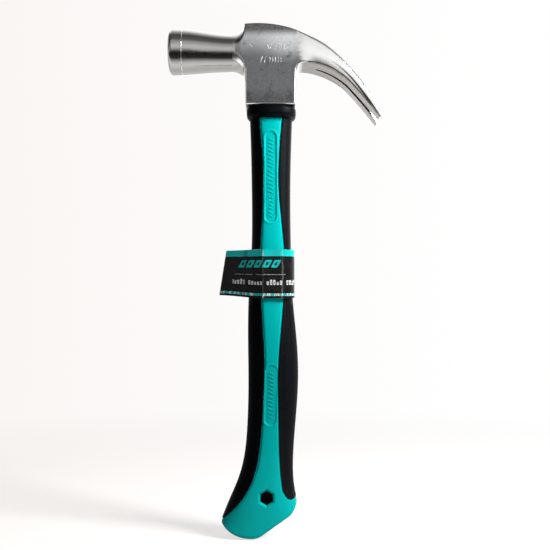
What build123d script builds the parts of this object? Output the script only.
"""A claw hammer: forged steel head, glass-fibre core, two-shot moulded handle and a loose card sleeve.

Millimetres.  +Z runs up the handle to the head, -X is the striking face, +X the claw, and Y is across
the hammer, which mirrors itself about Y = 0.  The origin is on the ground under the middle of the
overall box, with the hammer standing on its butt.
"""

import math
import os
from collections.abc import Callable
from dataclasses import dataclass

from build123d import *

# ---------------------------------------------------------------- overall sizes
OVERALL_HEIGHT = 299.5  # ground to the top of the head
HEAD_LENGTH = 125.0  # striking face to the claw tips
HEAD_CENTRE = 0.7  # middle of that length behind the origin

# ---------------------------------------------------------------- head
CHEEK_THICKNESS = 23.0  # across the flat sides
CHEEK_FRONT = 16.8  # front face of the cheek block ahead of the origin
CHEEK_REAR = 13.4  # rear face of the cheek block behind the origin
CHEEK_HEIGHT = 48.3  # top of the head to the bottom of the block
CHEEK_LEAN = 0.6  # how far each end face leans in by its lower edge
FACE_DIAMETER = 27.2  # striking face, the trade size
FACE_EDGE = 2.4  # rounding round the striking face
FACE_LAND = 8.7  # band behind the striking face
NECK_DIAMETER = 21.4  # thinnest part of the poll
NECK_BLEND = 8.4  # radius that carries the neck out to the cheek block
NECK_RUN = 7.8  # how far ahead of the block that blend starts
POLL_DROP = 14.6  # top of the head down to the poll's axis
POLL_TOP_DROP = 0.4  # top of the head down to the cut along the flare
FACE_LAND_TAPER = 0.25  # how much that band narrows in radius
CROWN_RADIUS = 69.6  # arc over the top of the head and the root of the claw
CROWN_CENTRE = -9.1
CLAW_WIDTH = 28.0  # across both tines
CLAW_FLARE = 14.0  # length over which the cheeks widen to the claw
CLAW_DROP = 55.7  # top of the head down to the tine tips
CLAW_KNEE_SHARE = 0.67  # of the way to the tips, where the crown's arc meets the flatter arc of the tines
CLAW_RADIUS = 112.8  # arc along the outside of the tines
CLAW_UNDER_DROP = 23.7  # top of the head down to the claw's underside at the block
CLAW_UNDER_RADIUS = 42.9  # arc under the root of the claw
CLAW_UNDER_KNEE = 19.0  # tips back to where the underside straightens
CLAW_UNDER_KNEE_DROP = 35.4
CLAW_HOLLOW = 288.0  # slight hollow under the tines
CLAW_ROOT_BLEND = 4.6  # radius between the block and the claw's underside
TIP_THICKNESS = 1.4
SLOT_LENGTH = 37.0  # nail slot, tips back to its closed end
SLOT_NARROW = 1.6
SLOT_WIDE = 5.6
EDGE_ROUND = 0.8  # rounding on the long outer edges

# ---------------------------------------------------------------- eye, core and resin
EYE_CENTRE = -1.5
EYE_LENGTH = 19.0  # mouth of the eye, along X
EYE_WIDTH = 13.0  # mouth of the eye, along Y
EYE_FLARE = 1.5  # how much longer and wider the eye is at the top
EYE_CORNER = 4.0
CORE_LENGTH = 14.5
CORE_WIDTH = 8.5
CORE_CORNER = 2.5
CORE_FOOT = 44.0  # ground to the lower end of the core
RESIN_DROP = 2.4  # top of the head down to the resin and the core's end
TENON_HEIGHT = 7.0  # part of the body that enters the eye
TENON_CLEARANCE = 0.15

# ---------------------------------------------------------------- handle
COLLAR_HEIGHT = 7.0
COLLAR_LENGTH = 29.0  # along X
COLLAR_DEPTH = 25.6  # along Y
COLLAR_CENTRE = -1.2
COLLAR_ROUND = 2.6
SOFT_THICKNESS = 2.0  # soft layer over the hard body
SECTION_POWER = 2.5  # 2 is an ellipse, more is boxier
SECTION_POINTS = 24
HEEL_CENTRE = -12.7
HEEL_RADIUS = 22.0  # front of the butt, round to its lowest point
SOLE_RADIUS = 12.0  # from the lowest point up to the straight underside
SOLE_RISE = 35.0  # degrees, slope of the straight underside
TOE_START = 8.3  # where the underside starts to turn up into the rear
TOE_RADIUS = 14.0
TOE_RISE = 70.0  # degrees
BUTT_BLOCK = 24.4  # across the block whose rounded edge trims the butt
BUTT_EDGE = 5.5

# ---------------------------------------------------------------- hanging socket
HOLE_CENTRE = (-3.8, 24.0)
HOLE_FLATS = 7.2  # across the flats of the socket
HOLE_WEB = 5.0  # wall left in the middle, between the sockets of the two sides
HOLE_MOUTH = 9.0  # across the flats at the surface
HOLE_BEVEL = 1.2

# ---------------------------------------------------------------- marks pressed into the body
MARK_DEPTH = 0.5
# ---------------------------------------------------------------- card sleeve
CARD = 0.35
GLUE = 0.12
SLEEVE_FOOT = 139.0
SLEEVE_HEIGHT = 27.5
SLEEVE_RIGHT = 12.5  # outside of the sleeve at the rear of the handle
SLEEVE_DEPTH = 24.6  # across the sleeve, along Y
SLEEVE_BEND = -5.8  # where the flat sides start to close towards the crease
SLEEVE_CREASE_FOOT = -31.0
SLEEVE_CREASE_TOP = -26.8
SLEEVE_CORNER = 6.5
LAP_END = 0.4  # how far the lap reaches, as a share of the way from the bend to the crease
LAP_JOIN = 0.05
CLEAR_OF_ALL = 40.0  # longer than any cut has to be on either side


@dataclass(frozen=True)
class Station:
    """One cross-section of the handle, with its height as a share of the handle's length."""

    share: float
    front: float
    rear: float
    half_depth: float


STATIONS = (
    Station(-0.008, -35.2, 22.2, 10.0),
    Station(0.036, -30.7, 18.3, 10.6),
    Station(0.084, -25.8, 14.1, 11.2),
    Station(0.135, -20.4, 11.8, 11.4),
    Station(0.191, -16.8, 11.7, 11.4),
    Station(0.259, -15.2, 12.9, 11.6),
    Station(0.366, -14.6, 14.6, 12.0),
    Station(0.466, -14.9, 13.5, 11.6),
    Station(0.553, -14.5, 11.4, 10.6),
    Station(0.661, -12.9, 10.4, 10.2),
    Station(0.796, -12.7, 10.05, 9.4),
    Station(0.924, -13.4, 10.7, 9.4),
    Station(1.0, -14.2, 11.4, 9.8),
)

handle_top = OVERALL_HEIGHT - CHEEK_HEIGHT
collar_foot = handle_top - COLLAR_HEIGHT
stretch = handle_top / 251.2  # heights along the handle follow its length
face_x = HEAD_CENTRE - HEAD_LENGTH / 2
tip_x = HEAD_CENTRE + HEAD_LENGTH / 2
poll_z = OVERALL_HEIGHT - POLL_DROP


def side_prism(outline: Face, half_width: float) -> Part:
    """Turns an outline drawn in X and Z into a solid that reaches half_width either side of Y = 0."""
    return extrude(outline, amount=half_width, dir=(0, 1, 0), both=True)


def side_point(x: float, z: float) -> Vector:
    """A point of the mirror plane."""
    return Vector(x, 0, z)


# ---------------------------------------------------------------- head
def head_outline() -> Face:
    """The cheek block and the claw seen from the side."""
    front_top = crown_point(-CHEEK_FRONT)
    knee = crown_point(CLAW_KNEE_SHARE * tip_x)
    tip = side_point(tip_x, OVERALL_HEIGHT - CLAW_DROP)
    tip_under = tip + Vector(-TIP_THICKNESS, 0, -TIP_THICKNESS / 2)
    under_knee = side_point(tip_x - CLAW_UNDER_KNEE, OVERALL_HEIGHT - CLAW_UNDER_KNEE_DROP)
    root = side_point(CHEEK_REAR + CLAW_ROOT_BLEND, OVERALL_HEIGHT - CLAW_UNDER_DROP)
    root_low = side_point(CHEEK_REAR, root.Z - CLAW_ROOT_BLEND)
    rear_low = side_point(CHEEK_REAR - CHEEK_LEAN, handle_top)
    front_low = side_point(-CHEEK_FRONT + CHEEK_LEAN, handle_top)
    edges = [
        arc_between(front_top, knee, CROWN_RADIUS),
        arc_between(knee, tip, CLAW_RADIUS),
        Edge.make_line(tip, tip_under),
        arc_between(under_knee, tip_under, CLAW_HOLLOW),
        arc_between(root, under_knee, CLAW_UNDER_RADIUS),
        arc_between(root_low, root, CLAW_ROOT_BLEND),
        Edge.make_line(root_low, rear_low),
        Edge.make_line(rear_low, front_low),
        Edge.make_line(front_low, front_top),
    ]
    return Face(Wire(edges))


def crown_point(x: float) -> Vector:
    """The point of the head's top arc at x."""
    rise = math.sqrt(CROWN_RADIUS**2 - (x - CROWN_CENTRE) ** 2)
    return side_point(x, OVERALL_HEIGHT - CROWN_RADIUS + rise)


def arc_between(start: Vector, end: Vector, radius: float) -> Edge:
    """An arc in the XZ plane that bulges left on the way to end, or right if radius is negative."""
    chord = end - start
    half = chord.length / 2
    rise = abs(radius) - math.sqrt(radius**2 - half**2)
    sagitta = math.copysign(rise, radius)
    outward = Vector(-chord.Z, 0, chord.X).normalized()
    middle = (start + end) * 0.5 + outward * sagitta
    return Edge.make_three_point_arc(start, middle, end)


def head_plan() -> Face:
    """The cheeks and the claw seen from above."""
    cheek = CHEEK_THICKNESS / 2
    claw = CLAW_WIDTH / 2
    flare_end = CHEEK_REAR + CLAW_FLARE
    side = [
        Edge.make_line(Vector(-CHEEK_FRONT, cheek), Vector(CHEEK_REAR - 1, cheek)),
        Edge.make_spline(
            [Vector(CHEEK_REAR - 1, cheek), Vector(flare_end, claw)],
            tangents=[Vector(1, 0), Vector(1, 0)],
        ),
        Edge.make_line(Vector(flare_end, claw), Vector(tip_x, claw)),
    ]
    other = [edge.mirror(Plane.XZ) for edge in side]
    ends = [
        Edge.make_line(Vector(-CHEEK_FRONT, -cheek), Vector(-CHEEK_FRONT, cheek)),
        Edge.make_line(Vector(tip_x, -claw), Vector(tip_x, claw)),
    ]
    return Face(Wire(side + other + ends))


def poll() -> Part:
    """The striking end: face, band, taper, neck and the flare that runs into the cheek block."""
    face_r = FACE_DIAMETER / 2
    neck_r = NECK_DIAMETER / 2
    neck_x = -CHEEK_FRONT - NECK_RUN
    flare_r = neck_r + NECK_BLEND - math.sqrt(NECK_BLEND**2 - NECK_RUN**2)
    inner_x = -CHEEK_FRONT + 2

    def at(x: float, radius: float) -> Vector:
        return side_point(x, poll_z + radius)

    corner = Edge.make_three_point_arc(
        at(face_x, face_r - FACE_EDGE),
        at(face_x + FACE_EDGE * (1 - math.sqrt(0.5)), face_r - FACE_EDGE * (1 - math.sqrt(0.5))),
        at(face_x + FACE_EDGE, face_r),
    )
    flare = arc_between(at(neck_x, neck_r), at(-CHEEK_FRONT, flare_r), -NECK_BLEND)
    edges = [
        Edge.make_line(side_point(face_x, poll_z), at(face_x, face_r - FACE_EDGE)),
        corner,
        Edge.make_line(at(face_x + FACE_EDGE, face_r), at(face_x + FACE_LAND, face_r - FACE_LAND_TAPER)),
        Edge.make_spline(
            [at(face_x + FACE_LAND, face_r - FACE_LAND_TAPER), at(neck_x, neck_r)],
            tangents=[Vector(1, 0, -0.13), Vector(1, 0, 0)],
        ),
        flare,
        Edge.make_line(at(-CHEEK_FRONT, flare_r), at(inner_x, flare_r)),
        Edge.make_line(at(inner_x, flare_r), side_point(inner_x, poll_z)),
        Edge.make_line(side_point(inner_x, poll_z), side_point(face_x, poll_z)),
    ]
    turned = revolve(Face(Wire(edges)), Axis((0, 0, poll_z), (1, 0, 0)), 360)
    return turned - poll_trim(neck_x, inner_x)


def poll_trim(neck_x: float, inner_x: float) -> Part:
    """Cuts the flare flush with the flat cheeks and below the top of the head."""
    length = inner_x - neck_x + 1
    middle_x = (neck_x + inner_x) / 2
    half = CHEEK_THICKNESS / 2
    beside = Box(length, CLEAR_OF_ALL, 2 * CLEAR_OF_ALL)
    side = Pos(middle_x, half + CLEAR_OF_ALL / 2, poll_z) * beside
    top_z = OVERALL_HEIGHT - POLL_TOP_DROP
    above = Pos(middle_x, 0, top_z + CLEAR_OF_ALL / 2) * Box(length, CLEAR_OF_ALL, CLEAR_OF_ALL)
    return side + side.mirror(Plane.XZ) + above


def nail_slot() -> Part:
    """The wedge between the tines, cut straight down through the claw."""
    start = tip_x - SLOT_LENGTH
    end = tip_x + 1
    narrow = SLOT_NARROW / 2
    wide = SLOT_WIDE / 2
    outline = Polyline((start, -narrow), (end, -wide), (end, wide), (start, narrow), close=True)
    wedge = make_face(outline)
    round_end = Pos(start, 0) * Circle(narrow)
    foot = OVERALL_HEIGHT - CLAW_DROP - 5
    return Pos(0, 0, foot) * extrude(wedge + round_end, amount=CLAW_DROP + 10)


def eye() -> Part:
    """The hole through the block, a little larger at the top."""
    foot = eye_section(0, 0)
    top = eye_section(EYE_FLARE, 0)
    height = CHEEK_HEIGHT + 2
    return Pos(EYE_CENTRE, 0, handle_top) * loft([foot, Pos(0, 0, height) * top], ruled=True)


def eye_section(growth: float, inset: float) -> Sketch:
    """The eye's outline, grown by growth overall or pulled in by inset on every side."""
    length = EYE_LENGTH + growth - 2 * inset
    width = EYE_WIDTH + growth - 2 * inset
    return RectangleRounded(length, width, EYE_CORNER - inset)


def head() -> Part:
    """The forged head, one piece of steel."""
    forging = side_prism(head_outline(), CLEAR_OF_ALL)
    plan = Pos(0, 0, handle_top - 20) * extrude(head_plan(), amount=CHEEK_HEIGHT + 40, dir=(0, 0, 1))
    forging = forging & plan
    outer_edges = [edge for edge in forging.edges() if on_one_side(edge)]
    forging = fillet(outer_edges, EDGE_ROUND)
    forging = forging - nail_slot()
    forging = forging + poll()
    return forging - eye()


def on_one_side(edge: Edge) -> bool:
    """Whether an edge lies wholly on one flat side of the head."""
    box = edge.bounding_box()
    nearest = min(abs(box.min.Y), abs(box.max.Y))
    return nearest > CHEEK_THICKNESS / 2 - 0.1


# ---------------------------------------------------------------- handle
def station_wire(station: Station, inset: float) -> Wire:
    """One closed cross-section, pulled in by inset all round."""
    middle = (station.front + station.rear) / 2
    half_length = (station.rear - station.front) / 2 - inset
    half_depth = station.half_depth - inset
    height = station.share * handle_top
    power = 2 / SECTION_POWER
    points = []
    for step in range(SECTION_POINTS):
        angle = math.tau * (step + 0.5) / SECTION_POINTS
        along = math.copysign(abs(math.cos(angle)) ** power, math.cos(angle))
        across = math.copysign(abs(math.sin(angle)) ** power, math.sin(angle))
        points.append(Vector(middle + half_length * along, half_depth * across, height))
    return Wire([Edge.make_spline(points, periodic=True)])


def handle_form(inset: float) -> Part:
    """The handle's outer shape, or a thinner one inside it, closed below by the rounded butt."""
    blank = loft([Face(station_wire(station, inset)) for station in STATIONS])
    return blank & butt_block()


def turning_arc(start: Vector, heading: float, turn: float, radius: float) -> tuple[Edge, Vector]:
    """An arc in XZ that leaves start at heading degrees and turns left, and its far end."""

    def at(swept: float) -> Vector:
        first = math.radians(heading)
        last = math.radians(heading + swept)
        along = radius * (math.sin(last) - math.sin(first))
        up = radius * (math.cos(first) - math.cos(last))
        return start + Vector(along, 0, up)

    return Edge.make_three_point_arc(start, at(turn / 2), at(turn)), at(turn)


def butt_block() -> Part:
    """A block with a rounded lower edge that holds everything above the underside of the butt."""
    top_z = handle_top + 5
    front = side_point(HEEL_CENTRE - HEEL_RADIUS, HEEL_RADIUS)
    heel_arc, low = turning_arc(front, -90, 90, HEEL_RADIUS)
    sole_arc, sole_start = turning_arc(low, 0, SOLE_RISE, SOLE_RADIUS)
    slope = math.tan(math.radians(SOLE_RISE))
    sole_end = side_point(TOE_START, sole_start.Z + (TOE_START - sole_start.X) * slope)
    toe_arc, toe_end = turning_arc(sole_end, SOLE_RISE, TOE_RISE - SOLE_RISE, TOE_RADIUS)
    rise = math.radians(TOE_RISE)
    clear = toe_end + Vector(math.cos(rise), 0, math.sin(rise)) * HEEL_RADIUS
    corners = [clear, side_point(clear.X, top_z), side_point(front.X, top_z), front]
    sole = Edge.make_line(sole_start, sole_end)
    edges = [heel_arc, sole_arc, sole, toe_arc, Edge.make_line(toe_end, clear)]
    edges += [Edge.make_line(start, end) for start, end in zip(corners, corners[1:])]
    block = side_prism(Face(Wire(edges)), BUTT_BLOCK / 2)
    lower = [edge for edge in block.edges() if abs(edge.center().Y) > BUTT_BLOCK / 2 - 0.1]
    return fillet([edge for edge in lower if edge.bounding_box().min.Z < toe_end.Z + 1], BUTT_EDGE)


def bare_strip() -> Face:
    """The strip of hard body that shows between the soft front and rear, seen from the side."""
    front = [(-8.2, 244.2), (-5.6, 205), (-7.6, 160), (-4.9, 97), (-6.7, 62.7), (-11.2, 35.4)]
    front_ends = [(-21.3, 18.5), (-31.5, 9.4)]
    rear = [(5.2, 244.2), (3.2, 205), (6.6, 160), (2.9, 97), (3.2, 62.7), (4.4, 35.4)]
    rear_end = (5.4, 28.0)
    notch = (9.8, 22.6)
    beyond = (16.0, 25.5)
    front_points = [side_point(x, z * stretch) for x, z in front + front_ends]
    rear_points = [side_point(x, z * stretch) for x, z in rear + [rear_end]]
    notch_arc = Edge.make_spline([rear_points[-1], side_point(*notch), side_point(*beyond)])
    corners = [
        front_points[-1],
        side_point(-2 * CLEAR_OF_ALL, front_points[-1].Z),
        side_point(-2 * CLEAR_OF_ALL, -CLEAR_OF_ALL),
        side_point(2 * CLEAR_OF_ALL, -CLEAR_OF_ALL),
        side_point(2 * CLEAR_OF_ALL, beyond[1]),
        side_point(*beyond),
    ]
    round_corners = [Edge.make_line(a, b) for a, b in zip(corners, corners[1:])]
    edges = [
        Edge.make_line(front_points[0], rear_points[0]),
        Edge.make_spline(front_points),
        Edge.make_spline(rear_points),
        notch_arc,
    ]
    return Face(Wire(edges + round_corners))


def core_rod() -> Part:
    """The glass-fibre bar that runs from the eye down the inside of the handle."""
    length = OVERALL_HEIGHT - RESIN_DROP - CORE_FOOT
    section = RectangleRounded(CORE_LENGTH, CORE_WIDTH, CORE_CORNER)
    return Pos(EYE_CENTRE, 0, CORE_FOOT) * extrude(section, amount=length)


def tenon() -> Part:
    """The top of the hard body, which fills the mouth of the eye."""
    section = eye_section(0, TENON_CLEARANCE)
    return Pos(EYE_CENTRE, 0, handle_top - 1) * extrude(section, amount=TENON_HEIGHT + 1)


def eye_resin() -> Part:
    """The resin that bonds the core into the eye."""
    height = CHEEK_HEIGHT - TENON_HEIGHT - RESIN_DROP
    middle_z = handle_top + TENON_HEIGHT + height / 2
    block = Pos(EYE_CENTRE, 0, middle_z) * Box(CLEAR_OF_ALL, CLEAR_OF_ALL, height)
    return (eye() & block) - core_rod()


def hexagon(flats: float) -> Sketch:
    """A hexagon with a corner at the top, drawn in X and Z."""
    return Plane.XZ * RegularPolygon(radius=flats / 2, side_count=6, major_radius=False, rotation=30)


def hanging_hole() -> Part:
    """The hexagonal sockets in both sides of the butt, bevelled, with a wall left between them."""
    x, z = HOLE_CENTRE
    hole = side_prism(hexagon(HOLE_FLATS).face(), CLEAR_OF_ALL)
    hole = hole - Box(2 * HOLE_MOUTH, HOLE_WEB, 2 * HOLE_MOUTH)
    surface = STATIONS[2].half_depth
    wide = HOLE_MOUTH + 2 * HOLE_BEVEL
    mouth = loft(
        [
            Pos(0, -(surface + HOLE_BEVEL), 0) * hexagon(wide),
            Pos(0, -(surface - HOLE_BEVEL), 0) * hexagon(HOLE_FLATS),
        ],
        ruled=True,
    )
    return Pos(x, 0, z) * (hole + mouth + mouth.mirror(Plane.XZ))


@dataclass(frozen=True)
class Mark:
    """A round-ended panel pressed into both sides of the body."""

    x: float
    height: float
    length: float
    width: float
    lean: float
    half_depth: float

    def cut(self) -> Part:
        """The pair of cuts, as deep as MARK_DEPTH at the crest of the section."""
        outline = Plane.XZ * Rot(0, 0, 90 - self.lean) * SlotOverall(self.length, self.width)
        slab = extrude(outline, amount=CLEAR_OF_ALL, dir=(0, -1, 0))
        near = Pos(self.x, MARK_DEPTH - self.half_depth, self.height * stretch) * slab
        return near + near.mirror(Plane.XZ)


MARKS = (
    Mark(x=-1.3, height=82.4, length=34.0, width=6.6, lean=2.0, half_depth=STATIONS[6].half_depth),
    Mark(x=-1.6, height=209.0, length=53.0, width=6.4, lean=0.0, half_depth=STATIONS[10].half_depth),
)


def two_shots() -> tuple[Part, Part]:
    """The hard body and the soft layer moulded over it."""
    form = handle_form(0)
    inner = handle_form(SOFT_THICKNESS)
    window = side_prism(bare_strip(), CLEAR_OF_ALL)
    soft = form - window - inner
    soft = soft + (collar() - inner)
    body = (form & window) + inner + tenon()
    body = body - core_rod() - hanging_hole()
    for mark in MARKS:
        body = body - mark.cut()
    return body, soft


def collar() -> Part:
    """The soft bulge under the head."""
    section = RectangleRounded(COLLAR_LENGTH, COLLAR_DEPTH, COLLAR_DEPTH / 2 - 3)
    ring = extrude(section, amount=COLLAR_HEIGHT)
    ends = ring.faces().sort_by(Axis.Z)
    ring = fillet(ends[0].edges() + ends[-1].edges(), COLLAR_ROUND)
    return Pos(COLLAR_CENTRE, 0, collar_foot) * ring


# ---------------------------------------------------------------- card sleeve
def sleeve_loop(crease: float, inset: float) -> Face:
    """The sleeve's outline from above, round the handle and pinched flat to the crease."""
    depth = SLEEVE_DEPTH / 2 - inset
    right = SLEEVE_RIGHT - inset
    near = [(crease + 2 * inset, 0), (SLEEVE_BEND, -depth), (right, -depth)]
    far = [(right, depth), (SLEEVE_BEND, depth)]
    outline = make_face(Polyline(*near, *far, close=True))
    return fillet(outline.vertices().sort_by(Axis.X)[-2:], SLEEVE_CORNER - inset).face()


def between_levels(outline: Callable[[float], Face]) -> Part:
    """Joins outline(crease) at the sleeve's lower edge to the same outline at its upper edge."""
    foot = outline(SLEEVE_CREASE_FOOT)
    top = Pos(0, 0, SLEEVE_HEIGHT) * outline(SLEEVE_CREASE_TOP)
    return Pos(0, 0, SLEEVE_FOOT * stretch) * loft([foot, top], ruled=True)


def lap(crease: float, near: float, far: float, low: float, high: float) -> Face:
    """A flat patch on the near side, from share near to share far of the way from bend to crease."""
    bend = Vector(SLEEVE_BEND, -SLEEVE_DEPTH / 2)
    way = Vector(crease, 0) - bend
    outward = Vector(-way.Y, way.X).normalized()
    corners = [
        bend + way * near + outward * low,
        bend + way * far + outward * low,
        bend + way * far + outward * high,
        bend + way * near + outward * high,
    ]
    return Face(Wire.make_polygon(corners))


def sleeve() -> tuple[Part, Part]:
    """The printed card loop, lapped over itself ahead of the bend, and the glue inside the lap."""
    ring = between_levels(lambda crease: sleeve_loop(crease, 0))
    ring = ring - between_levels(lambda crease: sleeve_loop(crease, CARD))
    over = between_levels(lambda crease: lap(crease, 0, LAP_END + LAP_JOIN, GLUE, GLUE + CARD))
    join = between_levels(lambda crease: lap(crease, LAP_END, LAP_END + LAP_JOIN, -CARD / 3, GLUE + CARD))
    glue = between_levels(lambda crease: lap(crease, LAP_JOIN, LAP_END, 0, GLUE))
    return ring + over + join, glue


def main() -> None:
    """Builds every piece and writes it to its own file."""
    os.makedirs("parts", exist_ok=True)
    body, soft = two_shots()
    ring, glue = sleeve()
    pieces = {
        "head": head(),
        "core_rod": core_rod(),
        "eye_resin": eye_resin(),
        "grip_body": body,
        "soft_grip": soft,
        "label_sleeve": ring,
        "label_glue": glue,
    }
    for name, piece in pieces.items():
        print(name, len(piece.solids()), round(piece.volume), piece.is_valid)
        export_step(piece, f"parts/{name}.step")


main()
